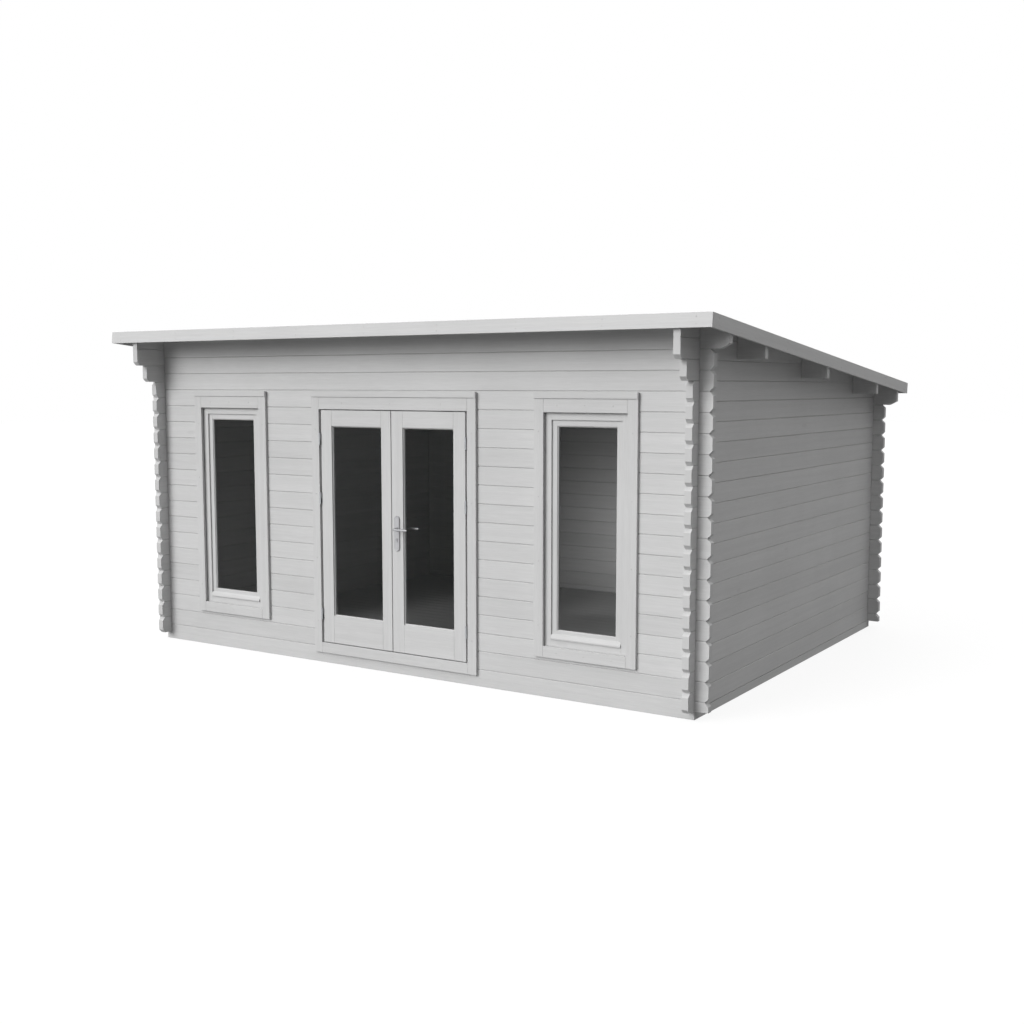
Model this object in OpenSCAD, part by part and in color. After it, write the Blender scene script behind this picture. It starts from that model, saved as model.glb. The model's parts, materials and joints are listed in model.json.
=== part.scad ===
// Log cabin with a pent roof, interlocking logs, a pair of glazed doors and two tall fixed windows.
// Millimetres. X runs along the front, -Y is the front and +Z is up.
// The origin is on the ground under the middle of the roof.

/* [Roof] */
// Width of the roof over its barge boards
roof_w = 5000; // [4700:10:5600]
// Depth of the roof over its front and rear boards
roof_d = 4000; // [3700:10:4800]
// Height of the roof's front edge above the ground
front_h = 2420; // [2390:5:2480]
// Fall of the roof from its front edge to its rear edge
roof_fall = 390; // [300:5:460]
// Roof beyond the front wall
front_overhang = 295; // [290:5:400]
// Roof beyond the rear wall
rear_overhang = 205; // [150:5:300]
// Roof beyond each side wall
side_overhang = 205; // [150:5:300]
// Height of the boards round the roof
fascia_h = 85; // [60:1:120]
// Thickness of the boards round the roof
fascia_t = 18; // [12:1:28]
// Thickness of the roof boards
deck_t = 19; // [15:1:28]
// Thickness of the roof covering
felt_t = 3; // [2:0.5:6]
// Width of a purlin
purlin_w = 45; // [35:1:60]
// Depth of a purlin
purlin_h = 135; // [100:1:150]
// Number of purlins, each in the middle of its share of the depth
purlin_count = 3; // [2:1:5]

/* [Logs] */
// Thickness of a log
log_t = 45; // [35:1:60]
// Height of a log
log_h = 124; // [115:1:130]
// Log ends beyond the crossing wall
log_end = 90; // [70:1:110]
// Chamfer on the corners of a log end
end_chamfer = 25; // [8:1:30]
// Chamfer along the edges of a log
edge_chamfer = 4; // [2:0.5:8]
// Width of the tongue on a log
tongue_w = 16; // [10:1:20]
// Height of the tongue on a log
tongue_h = 8; // [5:0.5:12]
// Step of each bracket log under the front eaves
bracket_step = 88; // [60:1:90]
// Length of the slant under a plate log's end
plate_slant_w = 57; // [20:1:90]
// Height of the slant under a plate log's end
plate_slant_h = 30; // [15:1:60]

/* [Base] */
// Height of the base beams
base_h = 54; // [40:1:80]
// Width of the base beams
base_w = 70; // [60:1:120]
// Width of a floor joist
joist_w = 45; // [35:1:70]
// Number of floor joists
joist_count = 5; // [3:1:9]
// Thickness of the floor boards
floor_t = 19; // [15:1:30]
// Gap between the floor boards and the walls
floor_gap = 5; // [2:1:12]

/* [Openings] */
// Top of the doorway and the windows below the roof's front edge
head_drop = 578; // [560:1:620]
// Width of the casing boards
casing_w = 70; // [45:1:90]
// Thickness of the casing boards
casing_t = 20; // [14:1:28]
// Height of the board over an opening
head_h = 87; // [60:1:100]
// Height of the cornice strip on that board
cornice_h = 39; // [20:1:60]
// How far the cornice strip stands out in front of the board
cornice_out = 6; // [2:1:20]
// Height of the board under an opening
apron_h = 74; // [50:1:90]
// Thickness of the inner casing boards
inner_t = 16; // [12:1:24]
// Depth that a glass pane sits in its groove
groove_d = 10; // [6:1:14]
// Thickness of the glass
glass_t = 6; // [4:1:10]

/* [Doors] */
// Clear width of the doorway
door_w = 1290; // [1200:5:1400]
// Height of the doorway's sill
sill_z = 150; // [135:1:180]
// Thickness of the doorway's jambs and head
jamb_t = 30; // [20:1:40]
// Thickness of a door leaf
leaf_t = 38; // [32:1:40]
// Front of a leaf in front of the wall's face
leaf_out = 14; // [8:1:16]
// Gap between a leaf and its jamb, where the hinges are
hinge_gap = 17; // [14:0.5:20]
// Gap over and under the leaves and where they meet
leaf_gap = 6; // [5:0.5:10]
// Meeting line from the middle of the doorway
meeting_x = 5; // [-60:1:60]
// Width of the stiles
stile_w = 97; // [90:1:130]
// How much narrower the left leaf's meeting stile is
lap_w = 13; // [0:1:30]
// Height of the top rails
top_rail_h = 113; // [80:1:150]
// Height of the bottom rails
bottom_rail_h = 199; // [150:1:300]
// Width of the stop that each leaf shuts against, and of the inner casing over it
stop_w = 32; // [26:1:45]
// Gap between the back of a leaf and its stop
stop_gap = 5; // [5:0.5:7]

/* [Hinges and handle] */
// Lowest hinge above the sill
hinge_low = 213; // [120:1:300]
// Middle hinge below the top of the doorway
hinge_mid = 637; // [500:1:800]
// Highest hinge below the top of the doorway
hinge_top = 212; // [120:1:300]
// Hinge axis in front of a leaf's face
hinge_out = 10; // [8:0.5:12]
// Hinge axis to the far edge of a hinge plate
hinge_plate_w = 38; // [28:1:42]
// Height of a hinge
hinge_h = 80; // [60:1:110]
// Radius of a hinge pin
pin_r = 3; // [2.5:0.1:3.2]
// Thickness of a hinge plate
hinge_plate_t = 2; // [1.5:0.1:2.2]
// Handle spindle above the sill
handle_z = 872; // [700:1:1000]
// Handle spindle from the meeting line
handle_x = 48; // [40:1:60]
// Width of a handle plate
plate_w = 46; // [36:1:60]
// Height of a handle plate
plate_h = 246; // [180:1:280]
// Thickness of a handle plate
plate_t = 8; // [4:1:12]
// Spindle to the top of a handle plate
plate_top = 92; // [60:1:120]
// Length of a lever
lever_l = 113; // [90:1:140]
// Radius of a lever
lever_r = 8; // [6:0.5:11]
// Lever's centre line from the handle plate
lever_out = 42; // [32:1:55]
// Radius of the spindle
spindle_r = 4.5; // [3.5:0.1:6]

/* [Windows] */
// Middle of a window from the side wall's outer face
window_in = 760; // [700:5:800]
// Width of a window inside its casing
window_w = 600; // [500:5:680]
// Height of a window's lower edge inside its casing
window_z = 338; // [300:1:500]
// Width of a window's frame that shows
frame_w = 47; // [30:1:60]
// How far a window's frame reaches behind its casing
frame_lap = 8; // [4:1:16]
// Front of a window's frame behind the wall's face
frame_set = 6; // [2:1:12]
// Front of a window's sash behind its frame's front
sash_set = 10; // [6:1:14]
// Width of a sash's stiles and top rail
sash_w = 37; // [28:1:50]
// Height of a sash's bottom rail
sash_foot_h = 53; // [45:1:80]
// Height of a weather bar at the sash
bar_h = 36; // [24:1:44]
// Height of a weather bar's front edge
bar_nose = 9; // [5:1:16]
// How far a weather bar stands out in front of the sash
bar_out = 20; // [10:1:30]

/* [Hidden] */
// clearance between pieces that seat on each other
seat = 0.3;
// running clearance of a hinge pin
pin_clear = 0.2;
// clearance of a hinge knuckle from the jamb
knuckle_clear = 1.5;
// clearance round a tongue
tongue_clear = 0.6;
// tongues and grooves stop short of a corner by this
tongue_stop = 20;
// how far cutting bodies run past what they cut
over = 2;
$fn = 48;

// pitch of the roof, and how far its leaning front board reaches forward at the foot
pitch_first = atan(roof_fall / roof_d);
lean = fascia_h * sin(pitch_first);
pitch = atan(roof_fall / (roof_d - lean));
roof_y = -roof_d / 2 + lean;
roof_l = (roof_d - lean) / cos(pitch);

// outer faces of the walls
front_y = -roof_d / 2 + front_overhang;
rear_y = roof_d / 2 - rear_overhang;
side_x = roof_w / 2 - side_overhang;
wall_end_x = side_x + log_end;
// ends of the purlins and plate logs, behind the barge boards
eave_x = roof_w / 2 - fascia_t - seat;

// layers of the roof, measured square to it from the top of its boards
felt_n = seat;
deck_n = felt_n + felt_t + seat;
under_n = deck_n + deck_t + seat;

// depth of a corner lap: each log keeps the middle half of its height
lap_d = log_h / 4;
// least height of the log over an opening, and of the top side log at the front wall
least_lintel = log_h / 3;
least_top = log_h / 6;

// lower edge of course i: front and rear logs sit half a course above the side logs
function long_line(i) = base_h + log_h / 2 + i * log_h;
function side_line(j) = base_h + j * log_h;
// seat under the roof boards at a given depth
function under_z(y) = front_h - (y - roof_y) * tan(pitch) - under_n / cos(pitch);

front_plate_i = floor((under_z(front_y + log_t) - long_line(0)) / log_h) - 1;
rear_plate_i = floor((under_z(rear_y) - long_line(0)) / log_h) - 1;
side_top_j = floor((under_z(front_y + log_t) - base_h - least_top) / log_h);

// top of the openings, and the first front course that runs over them
head_z = front_h - head_drop;
lintel_i = floor((head_z + jamb_t + least_lintel - long_line(0)) / log_h);

// openings cut in the front wall
window_x = side_x - window_in;
door_cut_x = door_w / 2 + jamb_t + seat;
door_cut_z = head_z + jamb_t + seat;
window_cut_x = window_w / 2 + frame_lap + seat;
window_cut_z0 = window_z - frame_lap - seat;
window_cut_z1 = head_z + frame_lap + seat;
// the courses beside a window are cut through to the lintel log
pier_cut_z1 = max(window_cut_z1, long_line(lintel_i)) + tongue_h + seat;

// front faces of the purlins
purlin_bay = (rear_y - front_y) / purlin_count;
purlin_y = [for (k = [0:purlin_count - 1]) front_y + (k + 0.5) * purlin_bay - purlin_w / 2];
floor_z = base_h + seat;

// door leaves
leaf_y = front_y - leaf_out;
stop_y = leaf_y + leaf_t + stop_gap;
leaf_z0 = sill_z + leaf_gap;
leaf_z1 = head_z - leaf_gap;
leaf_x = door_w / 2 - hinge_gap;
pane_z0 = leaf_z0 + bottom_rail_h;
pane_z1 = leaf_z1 - top_rail_h;
left_meet_x = meeting_x - leaf_gap / 2;
right_meet_x = meeting_x + leaf_gap / 2;
hinge_x = door_w / 2 - hinge_gap / 2;
knuckle_r = hinge_gap / 2 - knuckle_clear;
hinge_y = leaf_y - hinge_out;
hinge_z = [sill_z + hinge_low, head_z - hinge_mid, head_z - hinge_top];
spindle_x = meeting_x + handle_x;
spindle_z = sill_z + handle_z;

// window sashes
sash_x = window_w / 2 - frame_w - seat;
sash_y = front_y + frame_set + sash_set;
sash_z0 = window_z + frame_w + seat;
sash_z1 = head_z - frame_w - seat;

timber = [0.80, 0.80, 0.78];
trim = [0.86, 0.86, 0.84];
dark = [0.30, 0.31, 0.32];
metal = [0.70, 0.71, 0.72];
clear = [0.45, 0.55, 0.60, 0.4];

// A box from one corner to the opposite one.
module block(a, b) {
    translate(a)
        cube(b - a);
}

// The same shape on both sides of the cabin's middle.
module both_sides() {
    children();
    mirror([1, 0, 0])
        children();
}

// Cross-section of a log, thickness along x and height along y. A half log's foot is square.
module log_section(h, half) {
    c = edge_chamfer;
    foot = half ? [[0, 0], [log_t, 0]] : [[0, c], [c, 0], [log_t - c, 0], [log_t, c]];
    polygon(concat(foot, [[log_t, h - c], [log_t - c, h], [c, h], [0, h - c]]));
}

// Side view of a log, with a chamfer on each corner of its ends: start, end, foot and top.
module log_outline(l, h, foot0, foot1, top0, top1) {
    polygon(concat(
        foot0 > 0 ? [[0, foot0], [foot0, 0]] : [[0, 0]],
        foot1 > 0 ? [[l - foot1, 0], [l, foot1]] : [[l, 0]],
        top1 > 0 ? [[l, h - top1], [l - top1, h]] : [[l, h]],
        top0 > 0 ? [[top0, h], [0, h - top0]] : [[0, h]]));
}

// A log along +X from the origin, with its thickness along +Y.
module log_bar(l, h, foot0, foot1, top0, top1, half = false) {
    intersection() {
        rotate([90, 0, 90])
            linear_extrude(l)
                log_section(h, half);
        rotate([90, 0, 0])
            translate([0, 0, -log_t])
                linear_extrude(log_t)
                    log_outline(l, h, foot0, foot1, top0, top1);
    }
}

// A front or rear log of course i from x0 to x1, its outer or inner face at y.
// Its corner laps leave the middle half of its height, which the side logs' laps close on.
// The course below the first is the half log on the base beam.
module long_log(x0, x1, y, i) {
    half = i < 0;
    z0 = (half ? base_h : long_line(i)) + seat;
    h = long_line(i + 1) - z0;
    corner0 = x0 < -side_x;
    corner1 = x1 > side_x;
    tongue_x0 = corner0 ? -side_x + log_t + tongue_stop : x0;
    tongue_x1 = corner1 ? side_x - log_t - tongue_stop : x1;
    foot = half ? 0 : end_chamfer;
    mid = y + log_t / 2;
    difference() {
        union() {
            translate([x0, y, z0])
                log_bar(x1 - x0, h, corner0 ? foot : 0, corner1 ? foot : 0,
                    corner0 ? end_chamfer : 0, corner1 ? end_chamfer : 0, half);
            block([tongue_x0, mid - tongue_w / 2, z0 + h - tongue_h],
                [tongue_x1, mid + tongue_w / 2, z0 + h + tongue_h]);
        }
        if (!half)
            block([tongue_x0 - tongue_clear, mid - tongue_w / 2 - tongue_clear, z0 - over],
                [tongue_x1 + tongue_clear, mid + tongue_w / 2 + tongue_clear, z0 + tongue_h + tongue_clear]);
        if (corner0)
            corner_laps(-1, y, i, half);
        if (corner1)
            corner_laps(1, y, i, half);
    }
}

// What the side walls' logs take out of a front or rear log of course i at one corner.
module corner_laps(side, y, i, half = false, top = log_h) {
    x0 = side < 0 ? -side_x : side_x - log_t;
    z = long_line(i);
    if (!half)
        block([x0 - seat, y - over, z - over],
            [x0 + log_t + seat, y + log_t + over, z + lap_d + seat / 2]);
    block([x0 - seat, y - over, z + log_h - lap_d - seat / 2],
        [x0 + log_t + seat, y + log_t + over, z + top + tongue_h + over]);
}

// The plate log on a front or rear wall, bevelled to the roof and carried out under the side eaves.
module plate_log(y, i) {
    z0 = long_line(i) + seat;
    mid = y + log_t / 2;
    c = edge_chamfer;
    tongue_x = side_x - log_t - tongue_stop + tongue_clear;
    difference() {
        translate([-eave_x, 0, 0])
            rotate([90, 0, 90])
                linear_extrude(2 * eave_x)
                    polygon([[y + c, z0], [y + log_t - c, z0], [y + log_t, z0 + c],
                        [y + log_t, under_z(y + log_t)], [y, under_z(y)], [y, z0 + c]]);
        block([-tongue_x, mid - tongue_w / 2 - tongue_clear, z0 - over],
            [tongue_x, mid + tongue_w / 2 + tongue_clear, z0 + tongue_h + tongue_clear]);
        corner_laps(-1, y, i, false, front_h - z0);
        corner_laps(1, y, i, false, front_h - z0);
        both_sides()
            translate([0, y + log_t + over, 0])
                rotate([90, 0, 0])
                    linear_extrude(log_t + 2 * over)
                        polygon([[eave_x - plate_slant_w, z0 - over], [eave_x + over, z0 - over],
                            [eave_x + over, z0 + plate_slant_h], [eave_x, z0 + plate_slant_h],
                            [eave_x - plate_slant_w, z0]]);
    }
}

// A log of course j in the left wall. The upper ones are cut by the roof and the purlins,
// and the top three step forward under the front eaves.
module left_log(j) {
    steps = j >= side_top_j - 1 ? 2 : j == side_top_j - 2 ? 1 : 0;
    y0 = front_y - log_end - steps * bracket_step;
    y1 = rear_y + log_end;
    z0 = side_line(j) + seat;
    h = log_h - seat;
    z1 = z0 + h + tongue_h;
    mid = -side_x + log_t / 2;
    tongue_y0 = front_y + log_t + tongue_stop;
    tongue_y1 = rear_y - log_t - tongue_stop;
    difference() {
        union() {
            translate([-side_x + log_t, y0, z0])
                rotate([0, 0, 90])
                    log_bar(y1 - y0, h, j == side_top_j ? 0 : end_chamfer, end_chamfer,
                        steps > 0 ? 0 : end_chamfer, end_chamfer);
            if (j < side_top_j)
                block([mid - tongue_w / 2, tongue_y0, z0 + h - tongue_h],
                    [mid + tongue_w / 2, tongue_y1, z1]);
        }
        if (j > 0)
            block([mid - tongue_w / 2 - tongue_clear, tongue_y0 - tongue_clear, z0 - over],
                [mid + tongue_w / 2 + tongue_clear, tongue_y1 + tongue_clear, z0 + tongue_h + tongue_clear]);
        side_laps(front_y, j, j <= front_plate_i);
        side_laps(rear_y - log_t, j, j <= rear_plate_i);
        if (z1 > under_z(y1))
            roof_space();
        for (y = purlin_y)
            if (z1 > under_z(y + purlin_w) - purlin_h - seat && z0 < under_z(y))
                purlin_bar(y, -side_x - over, -side_x + log_t + over, seat);
    }
}

// What a front or rear wall at y takes out of a side log of course j.
module side_laps(y, j, top) {
    z = side_line(j);
    block([-side_x - over, y - seat, z - over],
        [-side_x + log_t + over, y + log_t + seat, z + lap_d + seat / 2]);
    if (top)
        block([-side_x - over, y - seat, z + log_h - lap_d - seat / 2],
            [-side_x + log_t + over, y + log_t + seat, z + log_h + tongue_h + over]);
}

// Everything above the left wall's seat under the roof boards.
module roof_space() {
    y = roof_d;
    top = under_z(-y) + log_h;
    translate([-side_x - over, 0, 0])
        rotate([90, 0, 90])
            linear_extrude(log_t + 2 * over)
                polygon([[-y, under_z(-y)], [y, under_z(y)], [y, top], [-y, top]]);
}

// A purlin's section from x0 to x1, with room round it when it cuts a wall.
module purlin_bar(y, x0, x1, room = 0) {
    top = room > 0 ? log_h : 0;
    translate([x0, 0, 0])
        rotate([90, 0, 90])
            linear_extrude(x1 - x0)
                polygon([[y - room, under_z(y + purlin_w) - purlin_h - room],
                    [y + purlin_w + room, under_z(y + purlin_w) - purlin_h - room],
                    [y + purlin_w + room, under_z(y + purlin_w + room) + top],
                    [y - room, under_z(y - room) + top]]);
}

// Turns children from the roof's own plane, with y down the slope from its front top edge.
module on_roof() {
    translate([0, roof_y, front_h])
        rotate([-pitch, 0, 0])
            children();
}

// Cuts for the doorway and the windows.
module door_cut() {
    block([-door_cut_x, front_y - over, long_line(0)], [door_cut_x, front_y + log_t + over, door_cut_z]);
}

module window_cut(z1) {
    block([window_x - window_cut_x, front_y - over, window_cut_z0],
        [window_x + window_cut_x, front_y + log_t + over, z1]);
}

// Boards round an opening w wide from z0 to z1 in the front wall: sides, apron, head and cornice strip.
module outer_casing(x, w, z0, z1) {
    y0 = front_y - casing_t;
    y1 = front_y - seat;
    a = w / 2;
    b = a + casing_w;
    for (s = [-1, 1])
        translate([x + s * (a + b) / 2, 0, 0])
            block([-casing_w / 2, y0, z0 - apron_h], [casing_w / 2, y1, z1 + head_h]);
    block([x - a + seat, y0, z0 - apron_h], [x + a - seat, y1, z0]);
    block([x - a + seat, y0, z1], [x + a - seat, y1, z1 + head_h]);
    block([x - b, y0 - cornice_out, z1 + head_h + seat], [x + b, y1, z1 + head_h + cornice_h]);
}

// Boards on the inside round an opening, reaching lap over it, down to z0.
module inner_casing(x, w, z0, z1, lap) {
    y0 = front_y + log_t + seat;
    y1 = y0 + inner_t;
    a = w / 2 - lap;
    b = w / 2 + casing_w;
    for (s = [-1, 1])
        translate([x + s * (a + b) / 2, 0, 0])
            block([-(b - a) / 2, y0, z0], [(b - a) / 2, y1, z1 - lap - seat]);
    block([x - b, y0, z1 - lap], [x + b, y1, z1 + casing_w]);
}

// A glazed leaf or sash from [x0, z0] to [x1, z1] and y to y + t, open from [a0, c0] to [a1, c1]:
// two stiles and two rails, grooved for their pane.
module glazed_frame(x0, x1, y, t, z0, z1, a0, a1, c0, c1) {
    difference() {
        union() {
            block([x0, y, z0], [a0, y + t, z1]);
            block([a1, y, z0], [x1, y + t, z1]);
            block([a0 + seat, y, z0], [a1 - seat, y + t, c0]);
            block([a0 + seat, y, c1], [a1 - seat, y + t, z1]);
        }
        block([a0 - groove_d, y + (t - glass_t) / 2 - seat, c0 - groove_d],
            [a1 + groove_d, y + (t + glass_t) / 2 + seat, c1 + groove_d]);
    }
}

module pane(y, t, a0, a1, c0, c1) {
    d = groove_d - seat;
    block([a0 - d, y + (t - glass_t) / 2, c0 - d], [a1 + d, y + (t + glass_t) / 2, c1 + d]);
}

module base_beams_long() {
    color(timber) {
        block([-side_x, front_y, 0], [side_x, front_y + base_w, base_h]);
        block([-side_x, rear_y - base_w, 0], [side_x, rear_y, base_h]);
    }
}

module base_beams_short() {
    color(timber)
        both_sides()
            block([-side_x, front_y + base_w + seat, 0], [-side_x + base_w, rear_y - base_w - seat, base_h]);
}

module floor_joists() {
    bay = (2 * side_x - 2 * base_w) / (joist_count + 1);
    color(timber)
        for (k = [1:joist_count])
            translate([-side_x + base_w + k * bay, 0, 0])
                block([-joist_w / 2, front_y + base_w + seat, 0],
                    [joist_w / 2, rear_y - base_w - seat, base_h]);
}

module floor_boards() {
    x = side_x - log_t - floor_gap;
    color(timber)
        block([-x, front_y + log_t + floor_gap, floor_z],
            [x, rear_y - log_t - floor_gap, floor_z + floor_t]);
}

module front_sill_log() {
    color(timber)
        difference() {
            long_log(-wall_end_x, wall_end_x, front_y, -1);
            door_cut();
        }
}

module front_logs_right() {
    color(timber)
        for (i = [0:lintel_i - 1])
            difference() {
                long_log(door_cut_x, wall_end_x, front_y, i);
                if (long_line(i + 1) + tongue_h > window_cut_z0)
                    window_cut(pier_cut_z1);
            }
}

module front_logs_left() {
    color(timber)
        mirror([1, 0, 0])
            front_logs_right();
}

module front_lintel_logs() {
    color(timber)
        for (i = [lintel_i:front_plate_i - 1])
            difference() {
                long_log(-wall_end_x, wall_end_x, front_y, i);
                if (long_line(i) < door_cut_z)
                    door_cut();
                if (long_line(i) < window_cut_z1)
                    both_sides()
                        window_cut(window_cut_z1);
            }
}

module front_plate_log() {
    color(timber)
        plate_log(front_y, front_plate_i);
}

module rear_logs() {
    color(timber)
        for (i = [-1:rear_plate_i - 1])
            long_log(-wall_end_x, wall_end_x, rear_y - log_t, i);
}

module rear_plate_log() {
    color(timber)
        plate_log(rear_y - log_t, rear_plate_i);
}

module left_logs() {
    color(timber)
        for (j = [0:side_top_j])
            left_log(j);
}

module right_logs() {
    color(timber)
        mirror([1, 0, 0])
            left_logs();
}

module purlins() {
    color(timber)
        for (y = purlin_y)
            purlin_bar(y, -eave_x, eave_x);
}

module roof_boards() {
    color(trim)
        on_roof()
            block([-eave_x, fascia_t + seat, -deck_n - deck_t], [eave_x, roof_l - fascia_t - seat, -deck_n]);
}

module roof_covering() {
    color(dark)
        on_roof()
            block([-eave_x, fascia_t + seat, -felt_n - felt_t], [eave_x, roof_l - fascia_t - seat, -felt_n]);
}

module front_fascia() {
    color(trim)
        on_roof()
            block([-roof_w / 2, 0, -fascia_h], [roof_w / 2, fascia_t, 0]);
}

module rear_fascia() {
    color(trim)
        on_roof()
            block([-roof_w / 2, roof_l - fascia_t, -fascia_h], [roof_w / 2, roof_l, 0]);
}

module left_barge_board() {
    color(trim)
        on_roof()
            block([-roof_w / 2, fascia_t + seat, -fascia_h],
                [-roof_w / 2 + fascia_t, roof_l - fascia_t - seat, 0]);
}

module right_barge_board() {
    mirror([1, 0, 0])
        left_barge_board();
}

// Jambs and head of the doorway, each with the stop that the leaves shut against.
module door_jambs() {
    y1 = front_y + log_t;
    a = door_w / 2;
    b = a - stop_w;
    color(trim) {
        both_sides() {
            block([a, front_y, long_line(0) + seat], [a + jamb_t, y1, head_z + jamb_t]);
            block([b, stop_y, sill_z + seat], [a + over, y1, head_z - seat]);
        }
        block([-a + seat, front_y, head_z], [a - seat, y1, head_z + jamb_t]);
        block([-b + seat, stop_y, head_z - stop_w], [b - seat, y1, head_z + over]);
    }
}

module door_sill() {
    a = door_w / 2 - seat;
    color(trim)
        block([-a, front_y, long_line(0) + seat], [a, front_y + log_t, sill_z]);
}

module door_casing() {
    color(trim)
        outer_casing(0, door_w, sill_z, head_z);
}

module door_inner_casing() {
    color(trim)
        inner_casing(0, door_w, floor_z + floor_t + seat, head_z, stop_w);
}

module left_door_frame() {
    color(trim)
        glazed_frame(-leaf_x, left_meet_x, leaf_y, leaf_t, leaf_z0, leaf_z1,
            -leaf_x + stile_w, left_meet_x - stile_w + lap_w, pane_z0, pane_z1);
}

module left_door_glass() {
    color(clear)
        pane(leaf_y, leaf_t, -leaf_x + stile_w, left_meet_x - stile_w + lap_w, pane_z0, pane_z1);
}

module right_door_frame() {
    color(trim)
        difference() {
            glazed_frame(right_meet_x, leaf_x, leaf_y, leaf_t, leaf_z0, leaf_z1,
                right_meet_x + stile_w, leaf_x - stile_w, pane_z0, pane_z1);
            translate([spindle_x, leaf_y - over, spindle_z])
                rotate([-90, 0, 0])
                    cylinder(r = spindle_r + pin_clear, h = leaf_t + 2 * over);
        }
}

module right_door_glass() {
    color(clear)
        pane(leaf_y, leaf_t, right_meet_x + stile_w, leaf_x - stile_w, pane_z0, pane_z1);
}

// Lower half of each right-hand hinge: plate on the jamb, knuckle and pin.
module right_frame_hinges() {
    reach = hinge_gap / 2 - seat;
    color(metal)
        for (z = hinge_z)
            translate([hinge_x, hinge_y, z]) {
                translate([0, 0, -hinge_h / 2])
                    cylinder(r = knuckle_r, h = hinge_h / 2);
                cylinder(r = pin_r, h = hinge_h / 2);
                difference() {
                    block([reach - hinge_plate_t, 0, -hinge_h / 2], [reach, hinge_plate_w, 0]);
                    translate([0, 0, -hinge_h])
                        cylinder(r = pin_r, h = hinge_h);
                }
            }
}

// Upper half of each right-hand hinge: plate on the leaf's edge and bored knuckle.
module right_leaf_hinges() {
    reach = hinge_gap / 2 - seat;
    color(metal)
        for (z = hinge_z)
            translate([hinge_x, hinge_y, z + seat])
                difference() {
                    union() {
                        cylinder(r = knuckle_r, h = hinge_h / 2);
                        block([-reach, 0, 0], [-reach + hinge_plate_t, hinge_plate_w, hinge_h / 2]);
                    }
                    translate([0, 0, -over])
                        cylinder(r = pin_r + pin_clear, h = hinge_h);
                }
}

module left_frame_hinges() {
    mirror([1, 0, 0])
        right_frame_hinges();
}

module left_leaf_hinges() {
    mirror([1, 0, 0])
        right_leaf_hinges();
}

// Plates on both faces of the right leaf's meeting stile.
module handle_plates() {
    z1 = spindle_z + plate_top;
    color(metal)
        for (y = [leaf_y - seat - plate_t, leaf_y + leaf_t + seat])
            difference() {
                block([spindle_x - plate_w / 2, y, z1 - plate_h], [spindle_x + plate_w / 2, y + plate_t, z1]);
                translate([spindle_x, y - over, spindle_z])
                    rotate([-90, 0, 0])
                        cylinder(r = spindle_r + pin_clear, h = plate_t + 2 * over);
            }
}

// Outer and inner lever on one spindle, with their hubs against the plates.
module handle_levers() {
    out = plate_t + seat + lever_out;
    color(metal)
        translate([spindle_x, leaf_y + leaf_t / 2, spindle_z]) {
            rotate([-90, 0, 0])
                translate([0, 0, -leaf_t / 2 - out])
                    cylinder(r = spindle_r, h = leaf_t + 2 * out);
            for (s = [-1, 1])
                translate([0, s * (leaf_t / 2 + plate_t + 2 * seat), 0])
                    rotate([-90 * s, 0, 0]) {
                        cylinder(r = lever_r, h = lever_out);
                        translate([0, 0, lever_out])
                            sphere(r = lever_r);
                        translate([0, 0, lever_out])
                            rotate([0, 90, 0])
                                cylinder(r = lever_r, h = lever_l);
                        translate([lever_l, 0, lever_out])
                            sphere(r = lever_r);
                    }
        }
}

module right_window_frame() {
    y0 = front_y + frame_set;
    y1 = front_y + log_t;
    a = window_w / 2 - frame_w;
    b = window_w / 2 + frame_lap;
    z0 = window_z - frame_lap;
    z1 = head_z + frame_lap;
    color(trim)
        translate([window_x, 0, 0]) {
            block([-b, y0, z0], [-a, y1, z1]);
            block([a, y0, z0], [b, y1, z1]);
            block([-a + seat, y0, z0], [a - seat, y1, window_z + frame_w]);
            block([-a + seat, y0, head_z - frame_w], [a - seat, y1, z1]);
        }
}

module right_window_sash() {
    color(trim)
        translate([window_x, 0, 0])
            glazed_frame(-sash_x, sash_x, sash_y, front_y + log_t - sash_y, sash_z0, sash_z1,
                -sash_x + sash_w, sash_x - sash_w, sash_z0 + sash_foot_h, sash_z1 - sash_w);
}

module right_window_glass() {
    color(clear)
        translate([window_x, 0, 0])
            pane(sash_y, front_y + log_t - sash_y, -sash_x + sash_w, sash_x - sash_w,
                sash_z0 + sash_foot_h, sash_z1 - sash_w);
}

module right_window_casing() {
    color(trim)
        outer_casing(window_x, window_w, window_z, head_z);
}

module left_window_frame() {
    mirror([1, 0, 0])
        right_window_frame();
}

module left_window_sash() {
    mirror([1, 0, 0])
        right_window_sash();
}

module left_window_glass() {
    mirror([1, 0, 0])
        right_window_glass();
}

module left_window_casing() {
    mirror([1, 0, 0])
        right_window_casing();
}

// Sloped bar across the foot of each sash that throws off rain.
module window_weather_bars() {
    y1 = sash_y - seat;
    y0 = sash_y - bar_out;
    z0 = sash_z0;
    color(trim)
        both_sides()
            translate([window_x - sash_x, 0, 0])
                rotate([90, 0, 90])
                    linear_extrude(2 * sash_x)
                        polygon([[y0, z0], [y1, z0], [y1, z0 + bar_h], [y0, z0 + bar_nose]]);
}

module window_inner_casings() {
    color(trim)
        both_sides() {
            inner_casing(window_x, window_w, window_z, head_z, 0);
            block([window_x - window_w / 2 - casing_w, front_y + log_t + seat, window_z - casing_w],
                [window_x + window_w / 2 + casing_w, front_y + log_t + seat + inner_t, window_z - seat]);
        }
}

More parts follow.
